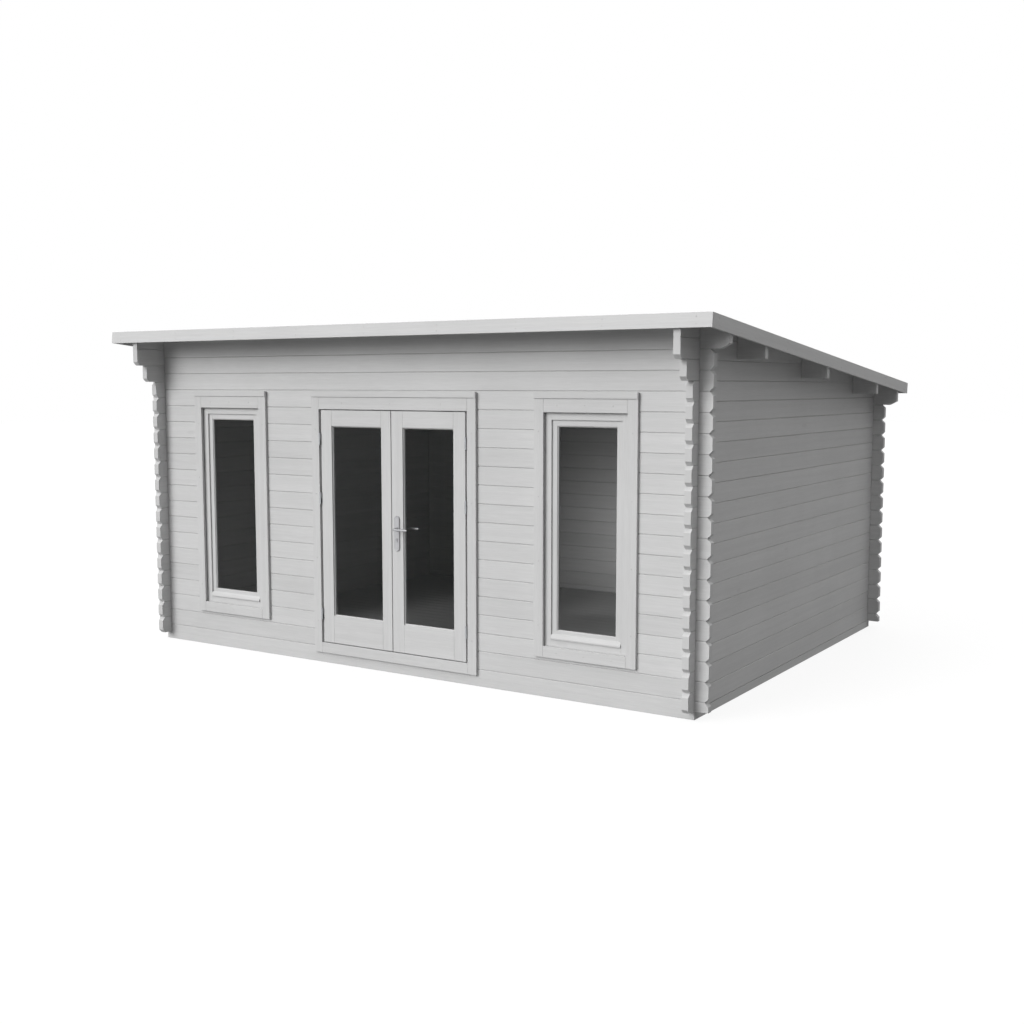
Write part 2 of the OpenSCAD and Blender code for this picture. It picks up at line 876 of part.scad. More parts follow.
base_beams_long();
base_beams_short();
floor_joists();
floor_boards();
front_sill_log();
front_logs_left();
front_logs_right();
front_lintel_logs();
front_plate_log();
rear_logs();
rear_plate_log();
left_logs();
right_logs();
purlins();
roof_boards();
roof_covering();
front_fascia();
rear_fascia();
left_barge_board();
right_barge_board();
door_jambs();
door_sill();
door_casing();
door_inner_casing();
left_door_frame();
left_door_glass();
right_door_frame();
right_door_glass();
left_frame_hinges();
left_leaf_hinges();
right_frame_hinges();
right_leaf_hinges();
handle_plates();
handle_levers();
left_window_frame();
left_window_sash();
left_window_glass();
left_window_casing();
right_window_frame();
right_window_sash();
right_window_glass();
right_window_casing();
window_weather_bars();
window_inner_casings();
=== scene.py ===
"""Log cabin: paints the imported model, adds its boards, beads and fittings, and sets a studio round it."""
import json
import math
import random

import bmesh
import bpy
from bpy.props import FloatProperty, FloatVectorProperty, PointerProperty
from mathutils import Matrix, Vector


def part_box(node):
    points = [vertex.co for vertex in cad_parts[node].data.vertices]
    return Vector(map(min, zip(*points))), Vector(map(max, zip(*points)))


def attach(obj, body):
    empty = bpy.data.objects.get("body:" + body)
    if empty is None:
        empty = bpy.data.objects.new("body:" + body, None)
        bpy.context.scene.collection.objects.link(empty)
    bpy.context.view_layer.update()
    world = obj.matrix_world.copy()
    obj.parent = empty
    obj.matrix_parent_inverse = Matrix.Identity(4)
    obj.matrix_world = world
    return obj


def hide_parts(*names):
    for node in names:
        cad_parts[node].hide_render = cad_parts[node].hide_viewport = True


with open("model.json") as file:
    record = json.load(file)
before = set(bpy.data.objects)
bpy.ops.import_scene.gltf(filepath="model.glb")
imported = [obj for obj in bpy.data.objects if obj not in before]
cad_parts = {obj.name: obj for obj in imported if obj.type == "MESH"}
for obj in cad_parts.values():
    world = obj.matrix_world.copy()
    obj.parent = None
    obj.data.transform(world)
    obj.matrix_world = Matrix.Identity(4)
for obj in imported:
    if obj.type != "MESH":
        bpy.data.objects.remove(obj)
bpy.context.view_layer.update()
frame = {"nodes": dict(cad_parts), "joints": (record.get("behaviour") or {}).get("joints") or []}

bl_info = {
    "name": "Log cabin",
    "version": (1, 0, 0),
    "blender": (4, 5, 0),
    "location": "View3D > Sidebar > Cabin",
    "description": "Paints a packed log cabin, adds its boards and fittings and sets a studio round it",
    "category": "Object",
}

X, Y, Z = range(3)

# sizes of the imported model, in metres
LOG_H = 0.124
BASE_H = 0.054
PANE_IN_GROOVE = 0.0097
LEVER_R = 0.008

LOG_NODES = [
    "front_sill_log", "front_logs_left", "front_logs_right", "front_lintel_logs", "front_plate_log",
    "rear_logs", "rear_plate_log", "left_logs", "right_logs", "purlins",
    "base_beams_long", "base_beams_short", "floor_joists",
]
TRIM_NODES = [
    "front_fascia", "rear_fascia", "left_barge_board", "right_barge_board",
    "door_jambs", "door_sill", "door_inner_casing",
    "left_window_frame", "left_window_sash", "right_window_frame", "right_window_sash",
    "window_weather_bars", "window_inner_casings",
]
BOARDED = {
    "left_door_frame": ("left_door", "doors"),
    "right_door_frame": ("right_door", "doors"),
    "door_casing": ("cabin", "trim"),
    "left_window_casing": ("cabin", "trim"),
    "right_window_casing": ("cabin", "trim"),
}
HINGE_NODES = ["left_frame_hinges", "left_leaf_hinges", "right_frame_hinges", "right_leaf_hinges"]
PANES = {
    "left_door_glass": "left_door",
    "right_door_glass": "right_door",
    "left_window_glass": "cabin",
    "right_window_glass": "cabin",
}


def colour(name, description, default):
    """A colour in the sidebar."""
    return FloatVectorProperty(
        name=name, description=description, subtype="COLOR", size=3, min=0.0, max=1.0, default=default
    )


def length(name, description, default):
    """A length in the sidebar, in metres."""
    return FloatProperty(name=name, description=description, default=default, min=0.0, unit="LENGTH")


class CabinPaint(bpy.types.PropertyGroup):
    """Colours of the finishes."""

    logs: colour("Logs", "Paint on the logs, purlins and base", (0.585, 0.585, 0.585))
    trim: colour("Trim", "Paint on the casings, windows and roof boards", (0.58, 0.58, 0.58))
    doors: colour("Doors", "Paint on the door leaves", (0.585, 0.585, 0.585))
    floor: colour("Floor", "Paint on the floor boards", (0.48, 0.48, 0.48))
    felt: colour("Felt", "Mineral granules on the roof", (0.22, 0.225, 0.23))
    glass: colour("Glass", "Tint of the panes", (0.020, 0.024, 0.023))
    steel: colour("Steel", "Satin steel of the handle", (0.36, 0.36, 0.37))
    zinc: colour("Zinc", "Plating of the hinges and screws", (0.34, 0.35, 0.36))
    grain: FloatProperty(
        name="Grain", description="How far the grain shows through the paint",
        default=0.5, min=0.0, max=1.0, subtype="FACTOR",
    )


class CabinBoards(bpy.types.PropertyGroup):
    """Sizes of the boards and fittings."""

    floor_board: length("Floor board", "Width of a floor board", 0.114)
    roof_board: length("Roof board", "Width of a roof board", 0.096)
    joint: length("Board joint", "Chamfer along the edges of the floor and roof boards", 0.0025)
    ease: length("Eased edge", "Rounding of the edges of casings, stiles and rails", 0.0016)
    felt_strip: length("Felt strip", "Width of a strip of roof felt that shows", 0.92)
    felt_lap: length("Felt lap", "How far a strip of felt covers the one below it", 0.08)
    bead: length("Glazing bead", "Width of a glazing bead", 0.008)
    screw: length("Screw head", "Radius of a screw head", 0.004)
    screw_edge: length("Screw edge", "From a roof board's edge to its screws", 0.022)
    nail_step: length("Nail step", "From one felt nail to the next", 0.1)


class CabinStage(bpy.types.PropertyGroup):
    """Camera and light."""

    camera_at: FloatVectorProperty(
        name="Camera", description="Where the camera stands", size=3, subtype="XYZ", unit="LENGTH",
        default=(5.332, -8.4546, 2.0134),
    )
    camera_turn: FloatProperty(
        name="Turn", description="Camera's turn to the left of the depth axis",
        default=0.5719, subtype="ANGLE",
    )
    camera_tilt: FloatProperty(
        name="Tilt", description="Camera's tilt below the horizon", default=0.1020, subtype="ANGLE"
    )
    lens: FloatProperty(name="Lens", description="Focal length in millimetres", default=43.6, unit="CAMERA")
    sun: FloatProperty(name="Sun", description="Strength of the main light", default=2.48, min=0.0)
    sun_way: FloatVectorProperty(
        name="Sun's way", description="Which way the main light shines", size=3, subtype="XYZ",
        default=(0.42, 0.84, -0.39),
    )
    sun_width: FloatProperty(
        name="Sun's width", description="How wide the main light looks",
        default=math.radians(40.0), subtype="ANGLE",
    )
    sky_high: FloatProperty(name="Sky", description="Strength of the light from above", default=1.2, min=0.0)
    sky_low: FloatProperty(
        name="Horizon", description="Strength of the light round the horizon", default=0.05, min=0.0
    )
    room: FloatProperty(name="Room", description="Watts of the light inside the room", default=1.65, min=0.0)
    floor: colour("Floor", "Studio floor", (0.12, 0.12, 0.12))


# materials


class Nodes:
    """A node tree, filled and joined in a few words."""

    def __init__(self, tree):
        self.tree = tree
        self.tree.nodes.clear()

    def add(self, kind, sockets=None, **settings):
        node = self.tree.nodes.new(kind)
        for key, value in settings.items():
            setattr(node, key, value)
        for key, value in (sockets or {}).items():
            self.put(node.inputs[key], value)
        return node

    def put(self, socket, value):
        if isinstance(value, bpy.types.NodeSocket):
            self.tree.links.new(value, socket)
        elif socket.type == "RGBA" and len(value) == 3:
            socket.default_value = (*value, 1.0)
        else:
            socket.default_value = value

    def place(self):
        return self.add("ShaderNodeTexCoord").outputs["Object"]

    def mapped(self, vector, scale=(1, 1, 1), turn=(0, 0, 0)):
        return self.add("ShaderNodeMapping", {"Vector": vector, "Scale": scale, "Rotation": turn}).outputs[0]

    def noise(self, vector, scale, detail=4.0, rough=0.55):
        sockets = {"Vector": vector, "Scale": scale, "Detail": detail, "Roughness": rough}
        return self.add("ShaderNodeTexNoise", sockets).outputs[0]

    def remap(self, value, a, b, to_a, to_b):
        sockets = {"Value": value, "From Min": a, "From Max": b, "To Min": to_a, "To Max": to_b}
        return self.add("ShaderNodeMapRange", sockets, interpolation_type="SMOOTHSTEP").outputs[0]

    def calc(self, kind, a, b=0.0):
        return self.add("ShaderNodeMath", {0: a, 1: b}, operation=kind).outputs[0]

    def mix(self, kind, factor, a, b):
        node = self.add("ShaderNodeMix", {0: factor, 6: a, 7: b}, data_type="RGBA", blend_type=kind)
        return node.outputs[2]

    def bump(self, height, strength, depth):
        sockets = {"Height": height, "Strength": strength, "Distance": depth}
        return self.add("ShaderNodeBump", sockets).outputs[0]

    def part(self, vector, axis):
        return self.add("ShaderNodeSeparateXYZ", {0: vector}).outputs[axis]

    def grey(self, value):
        return self.add("ShaderNodeCombineColor", {0: value, 1: value, 2: value}).outputs[0]


class Shade(Nodes):
    """A material with one surface shader."""

    def __init__(self, name):
        self.material = bpy.data.materials.new(name)
        self.material.use_nodes = True
        super().__init__(self.material.node_tree)
        self.surface = self.add("ShaderNodeBsdfPrincipled")
        out = self.add("ShaderNodeOutputMaterial")
        self.tree.links.new(self.surface.outputs[0], out.inputs[0])

    def finish(self, **sockets):
        """Sets the surface's own sockets, named with _ for spaces."""
        for key, value in sockets.items():
            self.put(self.surface.inputs[key.replace("_", " ")], value)
        return self.material


def darker(rgb, by):
    """A colour times a factor, paler where that is over one."""
    return tuple(c * by for c in rgb)


def edge_wear(s, radius):
    """One where an edge is within the radius, nothing on open faces."""
    rounded = s.add("ShaderNodeBevel", {"Radius": radius}, samples=4).outputs[0]
    true = s.add("ShaderNodeNewGeometry").outputs["Normal"]
    facing = s.add("ShaderNodeVectorMath", {0: rounded, 1: true}, operation="DOT_PRODUCT").outputs["Value"]
    return s.remap(facing, 0.995, 0.86, 0.0, 1.0)


def painted_timber(name, rgb, grain, axis, tilt=0.0, first_course=None, shine=0.5):
    """Matt paint brushed on softwood: fibres and knots along the axis, a tone for each log, worn edges, and
    painted shade darkening its creases and recesses.
    """
    s = Shade(name)
    at = s.mapped(s.place(), turn=(tilt, 0, 0)) if tilt else s.place()
    along = [1.0, 1.0, 1.0]
    along[axis] = 0.045
    fibre = s.noise(s.mapped(at, along), 170.0, 6.0, 0.6)
    along[axis] = 0.02
    band = s.noise(s.mapped(at, along), 34.0, 3.0, 0.5)
    along[axis] = 0.3
    knot_at = s.mapped(at, along)
    bent = s.noise(knot_at, 9.0, 2.0)
    knots = s.add("ShaderNodeTexVoronoi", {"Vector": knot_at, "Scale": 3.4, "Randomness": 1.0})
    knot = knots.outputs["Distance"]
    knot = s.remap(s.calc("ADD", knot, s.calc("MULTIPLY", bent, 0.05)), 0.085, 0.055, 0.0, 1.0)
    cloud = s.noise(at, 1.7, 3.0)

    tone = s.remap(fibre, 0.25, 0.75, 1.0 - 0.10 * grain, 1.0 + 0.06 * grain)
    tone = s.calc("MULTIPLY", tone, s.remap(band, 0.3, 0.7, 1.0 - 0.06 * grain, 1.0 + 0.04 * grain))
    tone = s.calc("MULTIPLY", tone, s.remap(cloud, 0.3, 0.7, 0.975, 1.02))
    if first_course is not None:
        course = s.calc("FLOOR", s.calc("DIVIDE", s.calc("SUBTRACT", s.part(at, Z), first_course), LOG_H))
        own = s.add("ShaderNodeTexWhiteNoise", {"W": course}, noise_dimensions="1D").outputs["Value"]
        tone = s.calc("MULTIPLY", tone, s.remap(own, 0.0, 1.0, 0.97, 1.025))
    paint = s.mix("MULTIPLY", 1.0, rgb, s.grey(tone))
    paint = s.mix("MIX", s.calc("MULTIPLY", knot, 0.35 * grain), paint, darker(rgb, 0.62))
    wear = edge_wear(s, 0.004)
    worn = s.calc("MULTIPLY", wear, s.remap(s.noise(at, 55.0, 3.0), 0.45, 0.7, 0.0, 0.45))
    paint = s.mix("MIX", worn, paint, darker(rgb, 1.22))
    # painted shade: the paint is darkened in creases, recesses and log joints where the ambient occlusion
    # finds little open space
    painted_crevice_shade = s.add("ShaderNodeAmbientOcclusion", {"Distance": 0.012}, samples=4).outputs["AO"]
    paint = s.mix("MULTIPLY", s.remap(painted_crevice_shade, 0.35, 0.95, 0.35, 0.0), paint, (0.45, 0.45, 0.45))

    height = s.calc("ADD", s.calc("MULTIPLY", fibre, 0.7), s.calc("MULTIPLY", band, 0.5))
    height = s.calc("SUBTRACT", height, s.calc("MULTIPLY", knot, 0.35))
    rough = s.remap(fibre, 0.2, 0.8, shine - 0.08, shine + 0.12)
    return s.finish(
        Base_Color=paint, Roughness=rough, Normal=s.bump(height, 0.25 + 0.3 * grain, 0.0012),
        Specular_IOR_Level=0.35,
    )


def end_grain(name, rgb, grain, axis, first_course):
    """Painted end of a log: growth rings and pores that show through the paint."""
    s = Shade(name)
    at = s.place()
    across = s.part(at, Y if axis == X else X)
    course = s.calc("DIVIDE", s.calc("SUBTRACT", s.part(at, Z), first_course), LOG_H)
    log = s.calc("FLOOR", course)
    own = s.add("ShaderNodeTexWhiteNoise", {"W": log}, noise_dimensions="1D").outputs["Value"]
    up = s.calc("MULTIPLY", s.calc("SUBTRACT", s.calc("FRACT", course), s.remap(own, 0, 1, 0.2, 0.8)), LOG_H)
    side = s.add("ShaderNodeMath", {0: across, 1: 0.03, 2: -0.03}, operation="WRAP").outputs[0]
    heart = s.add("ShaderNodeCombineXYZ", {0: side, 1: up, 2: own}).outputs[0]
    wave = {"Vector": heart, "Scale": 75.0, "Distortion": 1.6, "Detail": 2.0, "Detail Scale": 1.2}
    ring = s.add("ShaderNodeTexWave", wave, wave_type="RINGS", rings_direction="Z").outputs["Fac"]
    pore = s.noise(at, 900.0, 2.0)
    tone = s.remap(ring, 0.2, 0.9, 1.0 - 0.14 * grain, 1.0 + 0.03 * grain)
    tone = s.calc("MULTIPLY", tone, s.remap(pore, 0.3, 0.7, 0.96, 1.03))
    paint = s.mix("MULTIPLY", 1.0, rgb, s.grey(tone))
    paint = s.mix("MIX", s.calc("MULTIPLY", edge_wear(s, 0.004), 0.2), paint, darker(rgb, 1.2))
    height = s.calc("ADD", s.calc("MULTIPLY", ring, 0.6), s.calc("MULTIPLY", pore, 0.4))
    return s.finish(
        Base_Color=paint, Roughness=s.remap(pore, 0.2, 0.8, 0.5, 0.68), Normal=s.bump(height, 0.35, 0.001),
        Specular_IOR_Level=0.3,
    )


def mineral_felt(name, rgb):
    """Roof felt: coarse granules in bitumen with bare patches and dust."""
    s = Shade(name)
    at = s.place()
    cell = s.add("ShaderNodeTexVoronoi", {"Vector": at, "Scale": 420.0, "Randomness": 1.0})
    grit = s.part(cell.outputs["Color"], X)
    patch = s.noise(at, 5.0, 5.0, 0.6)
    dust = s.noise(s.mapped(at, (0.5, 2.0, 1.0)), 1.3, 3.0)
    paint = s.mix("MIX", s.remap(grit, 0.0, 1.0, 0.0, 1.0), darker(rgb, 0.6), darker(rgb, 1.5))
    paint = s.mix("MIX", s.remap(patch, 0.58, 0.75, 0.0, 0.45), paint, darker(rgb, 0.4))
    paint = s.mix("MIX", s.remap(dust, 0.5, 0.75, 0.0, 0.25), paint, darker(rgb, 1.9))
    height = s.calc("SUBTRACT", grit, cell.outputs["Distance"])
    return s.finish(
        Base_Color=paint, Roughness=s.remap(grit, 0.0, 1.0, 0.78, 0.95), Normal=s.bump(height, 0.6, 0.0015),
        Specular_IOR_Level=0.25,
    )


def clear_glass(name, rgb):
    """Window glass with a faint wave, a dark tint that varies a little and smears in its polish."""
    s = Shade(name)
    at = s.place()
    wave = s.noise(at, 2.2, 1.0)
    smear = s.noise(s.mapped(at, (1.0, 1.0, 0.35)), 14.0, 4.0)
    tint = s.mix("MIX", s.remap(wave, 0.3, 0.7, 0.0, 1.0), darker(rgb, 0.97), rgb)
    return s.finish(
        Base_Color=tint, Roughness=s.remap(smear, 0.55, 0.8, 0.0, 0.035), Normal=s.bump(wave, 0.05, 0.002),
        Alpha=0.08, Specular_IOR_Level=0.5,
    )


def brushed_metal(name, rgb, axis, shine, blotch, metal=1.0):
    """Metal with fine brush lines along the axis, blotches and polished edges."""
    s = Shade(name)
    at = s.place()
    along = [1.0, 1.0, 1.0]
    along[axis] = 0.03
    line = s.noise(s.mapped(at, along), 2600.0, 3.0)
    spot = s.noise(at, 60.0, 4.0)
    tone = s.mix("MIX", s.remap(line, 0.3, 0.7, 0.0, 1.0), darker(rgb, 0.9), darker(rgb, 1.08))
    tone = s.mix("MIX", s.remap(spot, 0.5, 0.75, 0.0, blotch), tone, darker(rgb, 0.6))
    wear = edge_wear(s, 0.0012)
    tone = s.mix("MIX", s.calc("MULTIPLY", wear, 0.6), tone, darker(rgb, 1.3))
    rough = s.calc("ADD", s.remap(line, 0.3, 0.7, shine - 0.05, shine + 0.07), s.calc("MULTIPLY", spot, 0.08))
    return s.finish(Base_Color=tone, Metallic=metal, Roughness=rough, Normal=s.bump(line, 0.15, 0.0002))


PALETTE = {}


def finish_of(kind, axis=X, tilt=0.0, first_course=None, ends=False):
    """The material of a kind of piece, made once for each grain direction."""
    key = (kind, axis, round(tilt, 4), first_course, ends)
    if key in PALETTE:
        return PALETTE[key]
    p = bpy.context.scene.cabin_paint
    tag = f"{kind}_{'xyz'[axis]}" + ("_ends" if ends else "") + ("_slope" if tilt else "")
    if kind in ("logs", "trim", "doors", "floor"):
        rgb = tuple(getattr(p, kind))
        if ends:
            made = end_grain(tag, rgb, p.grain, axis, first_course or 0.0)
        else:
            shine = 0.46 if kind == "floor" else 0.55
            made = painted_timber(tag, rgb, p.grain, axis, tilt, first_course, shine)
    elif kind == "felt":
        made = mineral_felt(tag, tuple(p.felt))
    elif kind == "glass":
        made = clear_glass(tag, tuple(p.glass))
    elif kind == "steel":
        made = brushed_metal(tag, tuple(p.steel), axis, 0.5, 0.15, 0.5)
    else:
        made = brushed_metal(tag, tuple(p.zinc), axis, 0.36, 0.5)
    PALETTE[key] = made
    return made


# pieces


def solids_of(obj):
    """Groups a node's faces into its separate solids."""
    mesh = obj.data
    home = {}
    corner = {}

    def root(i):
        while home[i] != i:
            home[i] = home[home[i]]
            i = home[i]
        return i

    for face in mesh.polygons:
        home[face.index] = face.index
    for face in mesh.polygons:
        for v in face.vertices:
            spot = tuple(round(c * 20000) for c in mesh.vertices[v].co)
            if spot in corner:
                home[root(face.index)] = root(corner[spot])
            else:
                corner[spot] = face.index
    groups = {}
    for face in mesh.polygons:
        groups.setdefault(root(face.index), []).append(face.index)
    return list(groups.values())


def solid_boxes(node):
    """The lowest and highest corner of each solid in a node."""
    obj = frame["nodes"][node]
    for faces in solids_of(obj):
        spots = [obj.data.vertices[v].co for f in faces for v in obj.data.polygons[f].vertices]
        yield [Vector([pick(p[a] for p in spots) for a in range(3)]) for pick in (min, max)]


def dress(node, kind, tilt=0.0, first_course=None, end_cut=0.85):
    """Paints each solid of a node with the grain along its length, and its ends with end grain."""
    obj = frame["nodes"][node]
    mesh = obj.data
    mesh.materials.clear()
    slot_of = {}

    def slot(material):
        if material.name not in slot_of:
            slot_of[material.name] = len(mesh.materials)
            mesh.materials.append(material)
        return slot_of[material.name]

    picked = [0] * len(mesh.polygons)
    for faces in solids_of(obj):
        spots = [mesh.vertices[v].co for f in faces for v in mesh.polygons[f].vertices]
        reach = [max(p[a] for p in spots) - min(p[a] for p in spots) for a in range(3)]
        axis = reach.index(max(reach))
        side = slot(finish_of(kind, axis, tilt, first_course))
        end = slot(finish_of(kind, axis, 0.0, first_course, True))
        for f in faces:
            picked[f] = end if abs(mesh.polygons[f].normal[axis]) > end_cut else side
    mesh.polygons.foreach_set("material_index", picked)
    mesh.update()


def coat(node, material):
    """Gives a whole node one material."""
    mesh = frame["nodes"][node].data
    mesh.materials.clear()
    mesh.materials.append(material)
    mesh.polygons.foreach_set("material_index", [0] * len(mesh.polygons))


def new_piece(name, bm, body, materials, replaced=()):
    """Turns a bmesh into a piece of the cabin that moves with a body."""
    bmesh.ops.recalc_face_normals(bm, faces=bm.faces)
    mesh = bpy.data.meshes.new(name)
    bm.to_mesh(mesh)
    bm.free()
    obj = bpy.data.objects.new(name, mesh)
    bpy.context.scene.collection.objects.link(obj)
    for material in materials:
        mesh.materials.append(material)
    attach(obj, body)
    if replaced:
        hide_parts(*replaced)
    return obj


def board(bm, lo, hi, chamfer, matrix=Matrix.Identity(4), mark=0, steps=1):
    """A board from one corner to the other with chamfered edges."""
    lo, hi = Vector(lo), Vector(hi)
    size = hi - lo
    box = bmesh.ops.create_cube(bm, size=1.0)["verts"]
    bmesh.ops.scale(bm, vec=size, verts=box)
    bmesh.ops.translate(bm, vec=(lo + hi) / 2, verts=box)
    edges = list({e for v in box for e in v.link_edges})
    cut = bmesh.ops.bevel(bm, geom=edges, offset=chamfer, segments=steps, affect="EDGES", profile=0.5)
    faces = set(cut["faces"])
    for v in cut["verts"]:
        faces.update(v.link_faces)
    for f in faces:
        f.material_index = mark
    bmesh.ops.transform(bm, matrix=matrix, verts=list({v for f in faces for v in f.verts}))


def lathe(bm, profile, matrix, sides=20, mark=0):
    """Turns a profile of (radius, height) points round the Z axis, then places it."""
    rings = []
    for r, h in profile:
        if r == 0.0:
            rings.append([bm.verts.new(matrix @ Vector((0, 0, h)))])
            continue
        turn = [2 * math.pi * k / sides for k in range(sides)]
        rings.append([bm.verts.new(matrix @ Vector((r * math.cos(t), r * math.sin(t), h))) for t in turn])
    for low, high in zip(rings, rings[1:]):
        for k in range(sides):
            m = (k + 1) % sides
            quad = [low[k % len(low)], low[m % len(low)], high[m % len(high)], high[k % len(high)]]
            quad = list(dict.fromkeys(quad))
            if len(quad) > 2:
                face = bm.faces.new(quad)
                face.material_index = mark
                face.smooth = True


def facing(at, normal):
    """A matrix that turns +Z to a normal and moves to a place."""
    return Matrix.Translation(Vector(at)) @ Vector(normal).to_track_quat("Z", "Y").to_matrix().to_4x4()


def screw_head(bm, at, normal, r, mark=0):
    """A domed screw head with a round-ended drive recess."""
    profile = [(r, -0.2 * r), (r, 0.12 * r), (0.86 * r, 0.3 * r), (0.62 * r, 0.42 * r), (0.42 * r, 0.45 * r),
               (0.36 * r, 0.1 * r), (0.0, 0.02 * r)]
    lathe(bm, profile, facing(at, normal), 14, mark)


def rounded_outline(w, h, r, steps=6):
    """Points round a rectangle with rounded corners, centred on the origin."""
    points = []
    for k, (sx, sz) in enumerate(((1, 1), (-1, 1), (-1, -1), (1, -1))):
        for m in range(steps + 1):
            t = math.pi / 2 * (k + m / steps)
            points.append((sx * (w / 2 - r) + r * math.cos(t), sz * (h / 2 - r) + r * math.sin(t)))
    return points


def stacked(bm, loops, mark=0):
    """Joins closed loops of points one after another and caps both ends."""
    rings = [[bm.verts.new(p) for p in loop] for loop in loops]
    n = len(rings[0])
    for a, b in zip(rings, rings[1:]):
        for i in range(n):
            j = (i + 1) % n
            face = bm.faces.new([a[i], a[j], b[j], b[i]])
            face.material_index = mark
            face.smooth = True
    for ring in (rings[0], rings[-1]):
        face = bm.faces.new(ring)
        face.material_index = mark


def dished_plate(bm, x, z, w, h, back, out, t):
    """A handle plate with round ends and a raised rim; out is the way it faces along the depth."""
    loops = []
    steps = ((0.0, 0.0), (0.0, 0.5), (0.0012, 0.8), (0.003, 0.98), (0.0055, 1.0), (0.008, 0.86), (0.011, 0.8))
    for inset, rise in steps:
        edge = rounded_outline(w - 2 * inset, h - 2 * inset, w / 2 - inset - 0.0005)
        loops.append([(x + a, back + out * t * rise, z + b) for a, b in edge])
    stacked(bm, loops)


def swept(bm, path, half_sizes, sides=18):
    """A rounded bar along a path in a level plane, with half its width and height at each point."""
    loops = []
    for k, p in enumerate(path):
        ahead = (path[min(k + 1, len(path) - 1)] - path[max(k - 1, 0)]).normalized()
        across = ahead.cross(Vector((0, 0, 1)))
        wide, high = half_sizes[k]
        turn = [2 * math.pi * m / sides for m in range(sides)]
        loops.append([p + across * wide * math.cos(t) + Vector((0, 0, high * math.sin(t))) for t in turn])
    stacked(bm, loops)


def mitred(bm, x0, x1, z0, z1, y, section, mark=0):
    """A four-sided frame whose section is a list of (inset, depth) points, mitred at the corners."""
    corners = [(x0, z0, 1, 1), (x1, z0, -1, 1), (x1, z1, -1, -1), (x0, z1, 1, -1)]
    loops = []
    for x, z, sx, sz in corners:
        loops.append([bm.verts.new((x + sx * a, y + d, z + sz * a)) for a, d in section])
    n = len(section)
    for k in range(4):
        here, there = loops[k], loops[(k + 1) % 4]
        for i in range(n):
            j = (i + 1) % n
            face = bm.faces.new([here[i], here[j], there[j], there[i]])
            face.material_index = mark


def roof_matrix():
    """The roof's own plane: x along the front, y down the slope from its front top edge."""
    front = max((v.co for v in frame["nodes"]["front_fascia"].data.vertices), key=lambda c: c.z)
    rear = max((v.co for v in frame["nodes"]["rear_fascia"].data.vertices), key=lambda c: c.y)
    pitch = math.atan2(front.z - rear.z, rear.y - front.y)
    return Matrix.Translation((0, front.y, front.z)) @ Matrix.Rotation(-pitch, 4, "X"), pitch


def roof_box(node, turn):
    """A node's corners in the roof's own plane."""
    back = turn.inverted()
    spots = [back @ v.co for v in frame["nodes"][node].data.vertices]
    return [Vector([pick(p[a] for p in spots) for a in range(3)]) for pick in (min, max)]


def felt_strip(bm, x0, x1, section, turn, draw):
    """One strip of felt: its section carried along the roof with a slight wave in its lapped edge."""
    steps = 40
    loops = []
    for k in range(steps + 1):
        x = x0 + (x1 - x0) * k / steps
        wave = draw.uniform(-0.0015, 0.0015) if 0 < k < steps else 0.0
        end = max(y for y, z in section)
        waved = [(y + wave if y == end else y, z) for y, z in section]
        loops.append([bm.verts.new(turn @ Vector((x, y, z))) for y, z in waved])
    n = len(section)
    for a, b in zip(loops, loops[1:]):
        for i in range(n):
            j = (i + 1) % n
            bm.faces.new([a[i], a[j], b[j], b[i]])
    bm.faces.new(loops[0])
    bm.faces.new(list(reversed(loops[-1])))


def handle_plate(bm, middle, size, back, out, spindle):
    """One back plate with its collar, two screws and a lock cylinder."""
    t = size.y
    front = back + out * t
    dished_plate(bm, middle.x, middle.z, size.x, size.z, back, out, t)
    rose = [(0.0175, -0.003), (0.0175, 0.0008), (0.016, 0.002), (0.0125, 0.002), (0.0122, -0.003)]
    lathe(bm, rose, facing((spindle.x, front, spindle.z), (0, out, 0)), 32)
    for z in (middle.z + size.z / 2 - 0.016, middle.z - size.z / 2 + 0.016):
        screw_head(bm, (middle.x, back + out * t * 0.8, z), (0, out, 0), 0.0042, 1)
    lock = Vector((spindle.x, back + out * t * 0.8, spindle.z - 0.072))
    barrel = [(0.0088, -0.001), (0.0088, 0.0032), (0.0080, 0.0040), (0.0064, 0.0040), (0.0060, 0.0034),
              (0.0, 0.0034)]
    lathe(bm, barrel, facing(lock, (0, out, 0)), 28)
    foot = rounded_outline(0.0100, 0.0200, 0.0049)
    low = lock.z - 0.0105
    stacked(bm, [[(lock.x + a, lock.y + out * d, low + b) for a, b in foot] for d in (-0.001, 0.0034)])
    slit = rounded_outline(0.0016, 0.0075, 0.0007, 3)
    ends = (0.0030, 0.00365)
    stacked(bm, [[(lock.x + a, lock.y + out * d, lock.z + b) for a, b in slit] for d in ends], 1)


